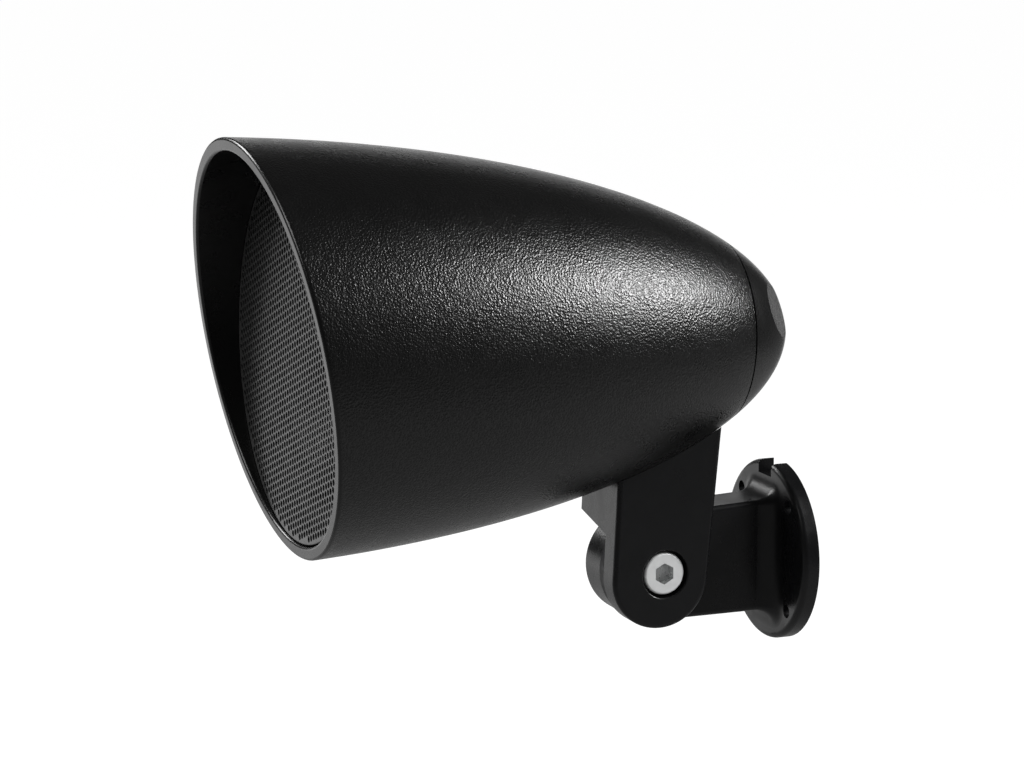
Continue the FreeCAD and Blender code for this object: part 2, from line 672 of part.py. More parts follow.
def make_saddle():
    """Pad and single ear in one moulding: the ear hangs beside the knuckle."""
    rise = PIVOT_DROP
    ear = Part.Face(ear_outline(rise)).extrude(ACROSS * EAR_THICKNESS)
    ear.translate(ACROSS * ear_inner)
    web_bottom = SADDLE_WEB_DROP
    outline = [(ear_outer, web_bottom), (ear_outer, rise), (-SADDLE_FAR_EDGE, rise),
               (-SADDLE_FAR_EDGE, web_bottom + SADDLE_WEB_RISE), (ear_inner, web_bottom)]
    points = [FreeCAD.Vector(x, -EAR_ROOT_WIDTH, z) for x, z in outline]
    web = Part.Face(Part.makePolygon(points + points[:1])).extrude(AXIS * (2 * EAR_ROOT_WIDTH))
    side_view = Part.Face(ear_outline(rise)).extrude(ACROSS * -(ear_outer + SADDLE_FAR_EDGE))
    side_view.translate(ACROSS * ear_outer)
    saddle = ear.fuse(web.common(side_view)).removeSplitter()
    outline = [edge for edge in saddle.Edges if abs(edge.CenterOfMass.x - ear_outer) < SLIP_GAP]
    saddle = saddle.makeFillet(EAR_ROUND, outline)
    room = KNUCKLE_RADIUS + KNUCKLE_CLEARANCE
    saddle = saddle.cut(along_x(room, -2 * SADDLE_FAR_EDGE, ear_inner))
    saddle = saddle.cut(block((-2 * SADDLE_FAR_EDGE, 0, -room), (ear_inner, 2 * room, room)))
    bore = SCREW_RADIUS + SCREW_RUNNING_GAP
    sink = SCREW_HEAD_DEPTH + SCREW_HEAD_SINK
    saddle = saddle.cut(along_x(bore, ear_inner - 1, ear_outer + 1))
    saddle = saddle.cut(along_x(SCREW_HEAD_RADIUS + COUNTERBORE_GAP, ear_outer - sink, ear_outer + 1))
    mouth = [edge for edge in saddle.Edges if abs(edge.CenterOfMass.x - ear_outer) < SLIP_GAP
             and edge.CenterOfMass.Length < ear_outer + SLIP_GAP]
    saddle = saddle.makeFillet(COUNTERBORE_ROUND, mouth)
    saddle = to_pivot(saddle).cut(belly)
    for station in saddle_screw_places():
        top = -skin_radius(station)
        foot = FreeCAD.Vector(0, station, top - SADDLE_SCREW_BITE)
        saddle = saddle.cut(Part.makeCylinder(SADDLE_SCREW_RADIUS, SADDLE_SCREW_BITE + WALL, foot, UP))
    return saddle


def make_saddle_screws():
    screws = []
    for station in saddle_screw_places():
        top = saddle_boss_top(station)
        tip = -skin_radius(station) - SADDLE_SCREW_BITE + 1
        foot = FreeCAD.Vector(0, station, tip)
        shank = Part.makeCylinder(SADDLE_SCREW_RADIUS - SLIP_GAP, top - tip, foot, UP)
        seat = FreeCAD.Vector(0, station, top)
        head = Part.makeCylinder(SADDLE_SCREW_HEAD_RADIUS, SADDLE_SCREW_HEAD_DEPTH, seat, UP)
        screws.append(shank.fuse(head).removeSplitter())
    return Part.makeCompound(screws)


def make_cable_grommet():
    """Closed rubber grommet for the speaker lead, with a flat lip outside and inside the wall."""
    reach = GROMMET_RADIUS + GROMMET_LIP
    seat = GROMMET_SEAT_DEPTH - SLIP_GAP
    inside = WALL + GROMMET_SEAT_DEPTH
    low = FreeCAD.Vector(0, 0, seat - GROMMET_LIP_DEPTH)
    plug = Part.makeCylinder(GROMMET_RADIUS - SLIP_GAP, inside - low.z, low, UP)
    outer_lip = Part.makeCylinder(reach, GROMMET_LIP_DEPTH, low, UP)
    inner_lip = Part.makeCylinder(reach, GROMMET_LIP_DEPTH, FreeCAD.Vector(0, 0, inside), UP)
    return on_belly(plug.fuse([outer_lip, inner_lip]).removeSplitter())


# Bracket, in the frame of the wall flange

def on_arm(shape):
    shape.translate(FreeCAD.Vector(0, -PIVOT_REACH, -PIVOT_SINK))
    return shape


def make_wall_bracket():
    """Round wall flange, arm and knuckle in one moulding."""
    half = ARM_WIDTH / 2
    knuckle = on_arm(along_x(KNUCKLE_RADIUS, -half, half))
    top = KNUCKLE_RADIUS - PIVOT_SINK
    bottom = -KNUCKLE_RADIUS - PIVOT_SINK
    points = [FreeCAD.Vector(-half, y, z) for y, z in (
        (-PIVOT_REACH, bottom), (-PIVOT_REACH, top), (-FLANGE_DEPTH, ARM_RISE), (-FLANGE_DEPTH, bottom))]
    arm = Part.Face(Part.makePolygon(points + points[:1])).extrude(ACROSS * ARM_WIDTH)
    arm = knuckle.fuse(arm).removeSplitter()
    side_edges = [edge for edge in arm.Edges if abs(abs(edge.CenterOfMass.x) - ARM_WIDTH / 2) < SLIP_GAP
                  and edge.CenterOfMass.y < -FLANGE_DEPTH - SLIP_GAP]
    arm = arm.makeFillet(ARM_EDGE_ROUND, side_edges)
    seat = along_x(KNUCKLE_RADIUS + KNUCKLE_CLEARANCE, ARM_WIDTH / 2 - FRICTION_DISC_DEPTH, ARM_WIDTH)
    arm = arm.cut(on_arm(seat))
    flange = disc(FLANGE_RADIUS, -FLANGE_DEPTH, 0)
    front_edge = [edge for edge in flange.Edges if abs(edge.CenterOfMass.y + FLANGE_DEPTH) < SLIP_GAP]
    flange = flange.makeFillet(FLANGE_ROUND, front_edge)
    half = NOTCH_WIDTH / 2
    notch = block((-half, -2 * FLANGE_DEPTH, FLANGE_RADIUS - NOTCH_DEPTH),
                  (half, FLANGE_DEPTH, 2 * FLANGE_RADIUS))
    bracket = arm.fuse(flange).removeSplitter()
    root = [edge for edge in bracket.Edges if abs(edge.CenterOfMass.y + FLANGE_DEPTH) < SLIP_GAP
            and edge.BoundBox.XLength < FLANGE_RADIUS and edge.BoundBox.ZLength < 2 * KNUCKLE_RADIUS]
    bracket = bracket.makeFillet(FLANGE_FILLET, root).cut(notch)
    spacing = FLANGE_HOLE_SPACING / 2
    for x in (-spacing, spacing):
        for z in (-spacing, spacing):
            place = FreeCAD.Vector(x, -2 * FLANGE_DEPTH, z)
            bracket = bracket.cut(Part.makeCylinder(FLANGE_HOLE_RADIUS, 3 * FLANGE_DEPTH, place, AXIS))
    pocket = hexagon(NUT_FLATS + NUT_POCKET_GAP, -ARM_WIDTH, -ARM_WIDTH / 2 + NUT_DEPTH)
    bore = along_x(SCREW_RADIUS + SCREW_RUNNING_GAP, -ARM_WIDTH, ARM_WIDTH)
    return bracket.cut(on_arm(pocket.fuse(bore)))


def make_friction_disc():
    plate = along_x(KNUCKLE_RADIUS, ARM_WIDTH / 2 - FRICTION_DISC_DEPTH, ARM_WIDTH / 2)
    plate = plate.cut(along_x(SCREW_RADIUS + SCREW_RUNNING_GAP, 0, ARM_WIDTH))
    return on_arm(plate)


def make_pivot_screw():
    head_seat = ear_outer - SCREW_HEAD_SINK - SCREW_HEAD_DEPTH + SLIP_GAP / 2
    face = ear_outer - SCREW_HEAD_SINK
    screw = along_x(SCREW_RADIUS, -ARM_WIDTH / 2, face).fuse(along_x(SCREW_HEAD_RADIUS, head_seat, face))
    screw = screw.removeSplitter()
    crown = [edge for edge in screw.Edges if abs(edge.CenterOfMass.x - face) < SLIP_GAP]
    screw = screw.makeFillet(SCREW_HEAD_ROUND, crown)
    screw = screw.cut(hexagon(SOCKET_FLATS, face - SOCKET_DEPTH, face + 1))
    return on_arm(screw)


def make_pivot_nut():
    nut = hexagon(NUT_FLATS, -ARM_WIDTH / 2, -ARM_WIDTH / 2 + NUT_DEPTH)
    nut = nut.cut(along_x(SCREW_RADIUS + SCREW_RUNNING_GAP, -ARM_WIDTH, ARM_WIDTH))
    return on_arm(nut)


# Body pieces are set on the pivot at the rest pitch, bracket pieces are already in place

to_body_pivot = FreeCAD.Placement(FreeCAD.Vector(0, -PIVOT_STATION, PIVOT_DROP), FreeCAD.Rotation())
on_bracket = FreeCAD.Placement(
    FreeCAD.Vector(0, -PIVOT_REACH, -PIVOT_SINK), FreeCAD.Rotation(ACROSS, -REST_PITCH))

body_pieces = {
    "shell": make_shell,
    "grille": make_grille,
    "grille_gasket": make_grille_gasket,
    "driver_gasket": make_driver_gasket,
    "driver_screws": make_driver_screws,
    "driver_basket": make_basket,
    "woofer_cone": make_cone,
    "woofer_surround": make_surround,
    "woofer_spider": make_spider,
    "voice_coil": make_voice_coil,
    "top_plate": make_top_plate,
    "magnet": make_magnet,
    "pole_piece": make_pole_piece,
    "tweeter_housing": make_tweeter_housing,
    "tweeter_magnet": make_tweeter_magnet,
    "tweeter_dome": make_tweeter_dome,
    "crossover_board": make_crossover_board,
    "board_standoffs": make_board_standoffs,
    "board_screws": make_board_screws,
    "inductor": make_inductor,
    "capacitor": make_capacitor,
    "resistor": make_resistor,
    "rear_cap": make_rear_cap,
    "cap_seal": make_cap_seal,
    "saddle": make_saddle,
    "saddle_screws": make_saddle_screws,
    "cable_grommet": make_cable_grommet,
}
bracket_pieces = {
    "wall_bracket": make_wall_bracket,
    "friction_disc": make_friction_disc,
    "pivot_screw": make_pivot_screw,
    "pivot_nut": make_pivot_nut,
}

os.makedirs("parts", exist_ok=True)
for node, make in body_pieces.items():
    shape = make()
    shape.Placement = on_bracket.multiply(to_body_pivot).multiply(shape.Placement)
    shape.exportStep("parts/" + node + ".step")
for node, make in bracket_pieces.items():
    make().exportStep("parts/" + node + ".step")
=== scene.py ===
import bpy
import bmesh
import json
import math
from mathutils import Matrix, Vector


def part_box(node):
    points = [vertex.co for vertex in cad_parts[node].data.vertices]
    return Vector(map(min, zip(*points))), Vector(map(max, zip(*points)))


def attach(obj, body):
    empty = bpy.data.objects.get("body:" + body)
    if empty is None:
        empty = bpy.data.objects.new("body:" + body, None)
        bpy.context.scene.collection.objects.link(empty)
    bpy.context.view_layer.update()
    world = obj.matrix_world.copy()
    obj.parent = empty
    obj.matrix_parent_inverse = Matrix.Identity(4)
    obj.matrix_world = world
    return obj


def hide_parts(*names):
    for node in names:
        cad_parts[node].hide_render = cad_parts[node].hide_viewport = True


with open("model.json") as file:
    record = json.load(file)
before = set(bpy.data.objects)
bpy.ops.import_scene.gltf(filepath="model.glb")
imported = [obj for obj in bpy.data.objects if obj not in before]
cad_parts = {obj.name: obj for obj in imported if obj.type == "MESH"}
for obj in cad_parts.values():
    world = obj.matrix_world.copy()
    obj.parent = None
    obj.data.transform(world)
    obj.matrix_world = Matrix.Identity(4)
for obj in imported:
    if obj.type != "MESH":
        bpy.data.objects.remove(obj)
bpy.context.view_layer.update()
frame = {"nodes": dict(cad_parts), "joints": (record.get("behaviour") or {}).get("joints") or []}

# Wall bracket: round flange, arm and knuckle in one glass-filled nylon moulding, satin black.
# Four wall screws hold the flange and the lead leaves through the notch at its top.
# The mould leaves a fine spark-eroded grain, rubbed a little smoother along the corners.


def new_finish(name, specular=0.5, metallic=0.0):
    material = bpy.data.materials.new(name)
    material.use_nodes = True
    tree = material.node_tree
    shader = tree.nodes["Principled BSDF"]
    shader.inputs["Specular IOR Level"].default_value = specular
    shader.inputs["Metallic"].default_value = metallic
    place = tree.nodes.new("ShaderNodeTexCoord").outputs["Object"]
    return material, tree, shader, place


def mottle(tree, place, size, detail=3.0):
    noise = tree.nodes.new("ShaderNodeTexNoise")
    noise.inputs["Scale"].default_value = 1.0 / size
    noise.inputs["Detail"].default_value = detail
    tree.links.new(place, noise.inputs["Vector"])
    return noise.outputs["Fac"]


def spread(tree, value, low, high, start, end):
    remap = tree.nodes.new("ShaderNodeMapRange")
    remap.inputs["From Min"].default_value = low
    remap.inputs["From Max"].default_value = high
    remap.inputs["To Min"].default_value = start
    remap.inputs["To Max"].default_value = end
    tree.links.new(value, remap.inputs["Value"])
    return remap.outputs["Result"]


def tint(tree, value, dark, light):
    mix = tree.nodes.new("ShaderNodeMix")
    mix.data_type = "RGBA"
    mix.inputs["A"].default_value = (*dark, 1)
    mix.inputs["B"].default_value = (*light, 1)
    tree.links.new(value, mix.inputs["Factor"])
    return mix.outputs["Result"]


def combine(tree, operation, first, second):
    result = tree.nodes.new("ShaderNodeMath")
    result.operation = operation
    tree.links.new(first, result.inputs[0])
    tree.links.new(second, result.inputs[1])
    return result.outputs["Value"]


def relief(tree, shader, height, strength, depth):
    bump = tree.nodes.new("ShaderNodeBump")
    bump.inputs["Strength"].default_value = strength
    bump.inputs["Distance"].default_value = depth
    tree.links.new(height, bump.inputs["Height"])
    tree.links.new(bump.outputs["Normal"], shader.inputs["Normal"])


def colour_cloud(tree, shader, place, size, dark, light, detail=3.0):
    cloud = mottle(tree, place, size, detail)
    tree.links.new(tint(tree, cloud, dark, light), shader.inputs["Base Color"])


def patchy(tree, place, size, smooth, rough):
    patch_low, patch_high = 0.3, 0.7
    return spread(tree, mottle(tree, place, size), patch_low, patch_high, smooth, rough)


def sheen_patches(tree, shader, place, size, smooth, rough, corner_polish=0.0):
    corner_starts, corner_full = 0.51, 0.57
    sheen = patchy(tree, place, size, smooth, rough)
    if corner_polish:
        corner = tree.nodes.new("ShaderNodeNewGeometry").outputs["Pointiness"]
        polish = spread(tree, corner, corner_starts, corner_full, 0.0, corner_polish)
        sheen = combine(tree, "SUBTRACT", sheen, polish)
    tree.links.new(sheen, shader.inputs["Roughness"])


def fine_grain(tree, shader, place, size, strength, depth, detail=3.0):
    relief(tree, shader, mottle(tree, place, size, detail), strength, depth)


def dress(node, material):
    for held in frame["nodes"][node].material_slots:
        held.material = material


bracket_black, tree, shader, place = new_finish("bracket_black", specular=0.32)
colour_cloud(tree, shader, place, size=0.018, dark=(0.0038, 0.0039, 0.0043), light=(0.0058, 0.0059, 0.0064))
sheen_patches(tree, shader, place, size=0.006, smooth=0.30, rough=0.38, corner_polish=0.08)
fine_grain(tree, shader, place, size=0.0006, strength=0.2, depth=0.0001)
dress("wall_bracket", bracket_black)

# Friction disc: a thin washer of glass-filled nylon between the knuckle and the ear.
# It is turned from bar, so fine rings run round it, and is greyer than the mouldings.

pivot = next(joint for joint in frame["joints"] if joint["name"] == "tilt")["pos_m"]
ring_pitch = 0.0007
ring_waver = 0.3
wave_at_scale_one = 0.314


def from_point(tree, place, point):
    away = tree.nodes.new("ShaderNodeVectorMath")
    away.operation = "SUBTRACT"
    away.inputs[1].default_value = point
    tree.links.new(place, away.inputs[0])
    return away.outputs["Vector"]


friction_nylon, tree, shader, place = new_finish("friction_nylon", specular=0.2)
colour_cloud(tree, shader, place, size=0.004, dark=(0.008, 0.008, 0.009), light=(0.016, 0.016, 0.017))
sheen_patches(tree, shader, place, size=0.002, smooth=0.4, rough=0.55)
turned_rings = tree.nodes.new("ShaderNodeTexWave")
turned_rings.wave_type = "RINGS"
turned_rings.rings_direction = "X"
turned_rings.inputs["Scale"].default_value = wave_at_scale_one / ring_pitch
turned_rings.inputs["Distortion"].default_value = ring_waver
tree.links.new(from_point(tree, place, pivot), turned_rings.inputs["Vector"])
relief(tree, shader, turned_rings.outputs["Fac"], strength=0.5, depth=0.00008)
dress("friction_disc", friction_nylon)

# Pivot screw and nut: an M8 button-head socket screw through the ear into a captive nut.
# Cold-headed steel, bright zinc plated with a faint bloom; the socket is left smoother, and its recess is
# painted a darker grey as painted shade.
# The small screws and standoffs inside have the same plating.

screw_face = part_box("pivot_screw")[1].x
socket_reach = 0.0041
socket_edge = 0.0001
socket_lip = 0.0003
socket_polish = 0.24
# Darker grey painted into the hex socket's recess as painted shade; the plating is the same there.
socket_shade_grey = (0.62, 0.63, 0.63, 1)


def multiplied(tree, vector, factors):
    scaled = tree.nodes.new("ShaderNodeVectorMath")
    scaled.operation = "MULTIPLY"
    scaled.inputs[1].default_value = factors
    tree.links.new(vector, scaled.inputs[0])
    return scaled.outputs["Vector"]


zinc_steel, tree, shader, place = new_finish("zinc_steel", metallic=0.55)
radius = tree.nodes.new("ShaderNodeVectorMath")
radius.operation = "LENGTH"
tree.links.new(multiplied(tree, from_point(tree, place, pivot), (0, 1, 1)), radius.inputs[0])
along_screw = tree.nodes.new("ShaderNodeSeparateXYZ")
tree.links.new(place, along_screw.inputs["Vector"])
near_axis = spread(tree, radius.outputs["Value"], socket_reach, socket_reach + socket_edge, 1.0, 0.0)
below_face = spread(tree, along_screw.outputs["X"],
                    screw_face - socket_lip, screw_face - socket_edge, 1.0, 0.0)
in_socket = combine(tree, "MULTIPLY", near_axis, below_face)
# Inside the socket's recess the plating colour gives way to the darker grey: painted shade.
socket_shade_mix = tree.nodes.new("ShaderNodeMix")
socket_shade_mix.data_type = "RGBA"
socket_shade_mix.inputs["B"].default_value = socket_shade_grey
tree.links.new(in_socket, socket_shade_mix.inputs["Factor"])
cloud = mottle(tree, place, size=0.003)
plating = tint(tree, cloud, dark=(0.86, 0.87, 0.87), light=(0.95, 0.96, 0.96))
tree.links.new(plating, socket_shade_mix.inputs["A"])
tree.links.new(socket_shade_mix.outputs["Result"], shader.inputs["Base Color"])
bloom = patchy(tree, place, size=0.0012, smooth=0.48, rough=0.60)
sheared = combine(tree, "SUBTRACT", bloom, spread(tree, in_socket, 0.0, 1.0, 0.0, socket_polish))
tree.links.new(sheared, shader.inputs["Roughness"])
fine_grain(tree, shader, place, size=0.0004, strength=0.2, depth=0.00006)
for node in ("pivot_screw", "pivot_nut", "saddle_screws", "board_screws", "board_standoffs"):
    dress(node, zinc_steel)

# Saddle: pad, front web and the one ear in a single moulding, screwed to the belly from inside.
# The same nylon as the wall bracket, with the same fine grain.

dress("saddle", bracket_black)

# Shell: one injection moulding from the slanted hood to the cap's seam, in UV-stable black.
# The outside has a coarse pebble grain, the rim's edge and the inside of the hood are left smooth.

cap_turn = next(joint for joint in frame["joints"] if joint["name"] == "cap_twist")
back = Vector(cap_turn["axis"]).normalized()
across = Vector((1, 0, 0))
up = across.cross(back)
rim_to_seam = 0.1646
rim_centre = Vector(cap_turn["pos_m"]) - rim_to_seam * back
rim_slant = math.radians(9.7)
rim_facing = math.cos(rim_slant) * back + math.sin(rim_slant) * up
rim_set_back = rim_centre.dot(rim_facing)
smooth_edge = 0.0004
grain_starts = 0.0014
outside_margin = 0.004
pebble_size = 0.00072
pebble_foot, pebble_crown = 0.25, 0.85
foot_shine, crown_shine = 0.34, 0.52
smooth_shine = 0.4


def along(tree, vector, direction):
    reach = tree.nodes.new("ShaderNodeVectorMath")
    reach.operation = "DOT_PRODUCT"
    reach.inputs[1].default_value = direction
    tree.links.new(vector, reach.inputs[0])
    return reach.outputs["Value"]


def pebble_height(tree, place, size):
    wander_rate, wander_reach = 0.8, 0.5 * size
    fine_size, fine_share = 0.5 * size, 0.35
    softness = 0.35
    wander = tree.nodes.new("ShaderNodeTexNoise")
    wander.inputs["Scale"].default_value = wander_rate / size
    tree.links.new(place, wander.inputs["Vector"])
    shift = tree.nodes.new("ShaderNodeVectorMath")
    shift.operation = "MULTIPLY_ADD"
    shift.inputs[1].default_value = (wander_reach, wander_reach, wander_reach)
    tree.links.new(wander.outputs["Color"], shift.inputs[0])
    tree.links.new(place, shift.inputs[2])
    cells = tree.nodes.new("ShaderNodeTexVoronoi")
    cells.feature = "SMOOTH_F1"
    cells.inputs["Scale"].default_value = 1.0 / size
    cells.inputs["Smoothness"].default_value = softness
    tree.links.new(shift.outputs["Vector"], cells.inputs["Vector"])
    both = tree.nodes.new("ShaderNodeMath")
    both.operation = "MULTIPLY_ADD"
    both.inputs[1].default_value = fine_share
    tree.links.new(mottle(tree, place, fine_size, detail=1.0), both.inputs[0])
    tree.links.new(cells.outputs["Distance"], both.inputs[2])
    return both.outputs["Value"]


shell_black, tree, shader, place = new_finish("shell_black")
past_rim = spread(tree, along(tree, place, rim_facing),
                  rim_set_back + smooth_edge, rim_set_back + grain_starts, 0.0, 1.0)
facing_out = tree.nodes.new("ShaderNodeVectorMath")
facing_out.operation = "DOT_PRODUCT"
tree.links.new(from_point(tree, place, rim_centre), facing_out.inputs[0])
tree.links.new(tree.nodes["Texture Coordinate"].outputs["Normal"], facing_out.inputs[1])
outside = spread(tree, facing_out.outputs["Value"], 0.0, outside_margin, 0.0, 1.0)
grained = combine(tree, "MULTIPLY", past_rim, outside)
colour_cloud(tree, shader, place, size=0.03, dark=(0.0016, 0.0016, 0.0016), light=(0.003, 0.003, 0.003))
sheen_patches(tree, shader, place, size=0.008, smooth=0.26, rough=0.30, corner_polish=0.05)
bumps = pebble_height(tree, place, pebble_size)
relief(tree, shader, combine(tree, "MULTIPLY", bumps, grained), strength=0.9, depth=0.00014)
pebble_shine = spread(tree, bumps, pebble_foot, pebble_crown, foot_shine, crown_shine)
shine = tree.nodes.new("ShaderNodeMix")
shine.inputs["A"].default_value = smooth_shine
tree.links.new(grained, shine.inputs["Factor"])
tree.links.new(pebble_shine, shine.inputs["B"])
tree.links.new(shine.outputs["Result"], shader.inputs["Specular IOR Level"])
dress("shell", shell_black)

# Grille: a flat steel disc with a staggered fine perforation, powder coated satin black.
# Its hem is folded back and pressed into the hood, so no screw shows.

grille_black, tree, shader, place = new_finish("grille_black")
colour_cloud(tree, shader, place, size=0.012, dark=(0.022, 0.022, 0.022), light=(0.034, 0.034, 0.034))
sheen_patches(tree, shader, place, size=0.004, smooth=0.28, rough=0.36)
fine_grain(tree, shader, place, size=0.0005, strength=0.2, depth=0.00008)

grille_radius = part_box("grille")[1].x
grille_set_back = 0.01187
sheet_gauge = 0.0004
hole_pitch = 0.00265
hole_radius = 0.00111
hole_sides = 12
hem_bend = 0.0004
hem_depth = 0.0034
hem_bend_angles = (30, 60, 90)
rim_steps = 180
lattice_turn = math.radians(21)
lattice_overrun = 1.3
flat_radius = grille_radius - hem_bend
plain_border = 0.55 * hole_pitch
edge_zone = 4 * hole_pitch
hole_edge_limit = 0.6e-3
same_point = 2e-6
microns_per_metre = 1e6
sheet = bmesh.new()
corners = {}


def sheet_point(x, z):
    key = (round(x * microns_per_metre), round(z * microns_per_metre))
    if key not in corners:
        corners[key] = sheet.verts.new((x, 0, z))
    return corners[key]


def hem_ring(reach, depth):
    turns = [k * math.pi / (rim_steps / 2) for k in range(rim_steps)]
    return [sheet.verts.new((reach * math.cos(turn), depth, reach * math.sin(turn))) for turn in turns]


rows = int(grille_radius / hole_pitch * lattice_overrun)
for row in range(-rows, rows + 1):
    for column in range(-rows, rows + 1):
        along_row = (column + 0.5 * row) * hole_pitch
        over = row * hole_pitch * math.sqrt(3) / 2
        x = along_row * math.cos(lattice_turn) - over * math.sin(lattice_turn)
        z = along_row * math.sin(lattice_turn) + over * math.cos(lattice_turn)
        if math.hypot(x, z) > flat_radius - plain_border:
            continue
        outline = []
        hole = []
        for step in range(hole_sides):
            turn = lattice_turn + math.radians(360 / hole_sides * step)
            reach = hole_pitch / 2 if step % 2 == 0 else hole_pitch / math.sqrt(3)
            outline.append(sheet_point(x + reach * math.cos(turn), z + reach * math.sin(turn)))
            hole.append(sheet.verts.new((x + hole_radius * math.cos(turn), 0,
                                         z + hole_radius * math.sin(turn))))
        for step in range(hole_sides):
            after = (step + 1) % hole_sides
            sheet.faces.new((outline[step], hole[step], hole[after], outline[after]))
bmesh.ops.remove_doubles(sheet, verts=list(corners.values()), dist=same_point)
inner_edges = [edge for edge in sheet.edges if edge.is_boundary
               and min(v.co.length for v in edge.verts) > grille_radius - edge_zone
               and edge.calc_length() > hole_edge_limit]
border = hem_ring(flat_radius, 0)
rim_edges = [sheet.edges.new((border[k], border[(k + 1) % rim_steps])) for k in range(rim_steps)]
bmesh.ops.triangle_fill(sheet, edges=inner_edges + rim_edges, use_beauty=True, use_dissolve=False)
hem_profile = [(grille_radius - hem_bend * (1 - math.sin(math.radians(bend))),
                hem_bend * (1 - math.cos(math.radians(bend)))) for bend in hem_bend_angles]
last = border
for reach, depth in hem_profile + [(grille_radius, hem_depth)]:
    ring = hem_ring(reach, depth)
    for k in range(rim_steps):
        after = (k + 1) % rim_steps
        sheet.faces.new((last[k], last[after], ring[after], ring[k]))
    last = ring
bmesh.ops.recalc_face_normals(sheet, faces=sheet.faces[:])
grille_mesh = bpy.data.meshes.new("grille_sheet")
sheet.to_mesh(grille_mesh)
sheet.free()
grille_sheet = bpy.data.objects.new("grille_sheet", grille_mesh)
bpy.context.scene.collection.objects.link(grille_sheet)
body_turn = Matrix((across, back, up)).transposed().to_4x4()
grille_sheet.matrix_world = Matrix.Translation(rim_centre + grille_set_back * back) @ body_turn
grille_mesh.materials.append(grille_black)
thick = grille_sheet.modifiers.new("sheet_gauge", "SOLIDIFY")
thick.thickness = sheet_gauge
thick.offset = -1
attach(grille_sheet, "speaker")
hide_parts("grille")

# Gaskets: closed-cell foam rings behind the grille and under the driver's flange.
# Die-cut from sheet, matt black, with an open pored face.

foam_black, tree, shader, place = new_finish("foam_black", specular=0.1)
colour_cloud(tree, shader, place, size=0.001, dark=(0.006, 0.006, 0.006), light=(0.02, 0.02, 0.02))
sheen_patches(tree, shader, place, size=0.002, smooth=0.88, rough=0.98)
fine_grain(tree, shader, place, size=0.0006, strength=0.8, depth=0.0003, detail=6.0)
for node in ("grille_gasket", "driver_gasket"):
    dress(node, foam_black)

# Rear cap: the tail of the body, moulded in the shell's own black with a shallower pebble grain.
# A bayonet locks it to the shell, three flats give fingers a hold and a rubber ring seals it.

cap_grain_depth = 0.00006
cap_black = shell_black.copy()
cap_black.name = "cap_black"
cap_black.node_tree.nodes["Bump"].inputs["Distance"].default_value = cap_grain_depth
dress("rear_cap", cap_black)

rubber_black, tree, shader, place = new_finish("rubber_black", specular=0.3)
colour_cloud(tree, shader, place, size=0.003, dark=(0.007, 0.007, 0.007), light=(0.014, 0.014, 0.014))
sheen_patches(tree, shader, place, size=0.0015, smooth=0.58, rough=0.75)
fine_grain(tree, shader, place, size=0.0004, strength=0.3, depth=0.0001)
dress("cap_seal", rubber_black)

# Cable grommet: a soft rubber bush pressed into the belly, where the lead comes in.
# Moulded in the same black rubber as the seal.

dress("cable_grommet", rubber_black)

# Woofer basket: six spokes and a flange in one aluminium casting, painted black.
# Black plated screws hold its flange to the ledge inside the hood.

basket_black, tree, shader, place = new_finish("basket_black", specular=0.4)
colour_cloud(tree, shader, place, size=0.01, dark=(0.008, 0.008, 0.009), light=(0.018, 0.018, 0.019))
sheen_patches(tree, shader, place, size=0.004, smooth=0.45, rough=0.6, corner_polish=0.1)
fine_grain(tree, shader, place, size=0.0009, strength=0.4, depth=0.0002, detail=5.0)
dress("driver_basket", basket_black)

black_zinc, tree, shader, place = new_finish("black_zinc", metallic=1.0)
colour_cloud(tree, shader, place, size=0.002, dark=(0.03, 0.03, 0.032), light=(0.06, 0.06, 0.063))
sheen_patches(tree, shader, place, size=0.001, smooth=0.35, rough=0.5)
fine_grain(tree, shader, place, size=0.0004, strength=0.2, depth=0.00006)
dress("driver_screws", black_zinc)

# Woofer cone and surround: a mineral-filled plastic cone with a half roll of rubber at its edge.
# The cone is vacuum formed, so its face is faintly mottled; the roll is glued to the basket.

cone_black, tree, shader, place = new_finish("cone_black", specular=0.35)
colour_cloud(tree, shader, place, size=0.002, detail=6.0,
             dark=(0.012, 0.012, 0.013), light=(0.030, 0.030, 0.032))
sheen_patches(tree, shader, place, size=0.003, smooth=0.4, rough=0.55)
fine_grain(tree, shader, place, size=0.001, strength=0.3, depth=0.00015)
dress("woofer_cone", cone_black)
dress("woofer_surround", rubber_black)

# Spider and voice coil: a corrugated disc of resin-set cotton keeps the coil in its gap.
# The weave shows in the cloth, and the coil is enamelled copper wound in close turns.

spider_thread = 0.0007
wire_pitch = 0.0006


def bands(tree, place, direction, pitch, distortion=0.0):
    wave = tree.nodes.new("ShaderNodeTexWave")
    wave.bands_direction = direction
    wave.inputs["Scale"].default_value = wave_at_scale_one / pitch
    wave.inputs["Distortion"].default_value = distortion
    tree.links.new(place, wave.inputs["Vector"])
    return wave.outputs["Fac"]


def woven(tree, place, thread):
    uneven = 0.6
    weft = bands(tree, place, "X", thread, uneven)
    warp = bands(tree, place, "Z", thread, uneven)
    return combine(tree, "MAXIMUM", weft, warp)


spider_cloth, tree, shader, place = new_finish("spider_cloth", specular=0.2)
shader.inputs["Roughness"].default_value = 0.8
threads = woven(tree, place, spider_thread)
cotton_brown = tint(tree, threads, dark=(0.30, 0.19, 0.07), light=(0.50, 0.35, 0.15))
tree.links.new(cotton_brown, shader.inputs["Base Color"])
relief(tree, shader, threads, strength=0.5, depth=0.00015)
dress("woofer_spider", spider_cloth)

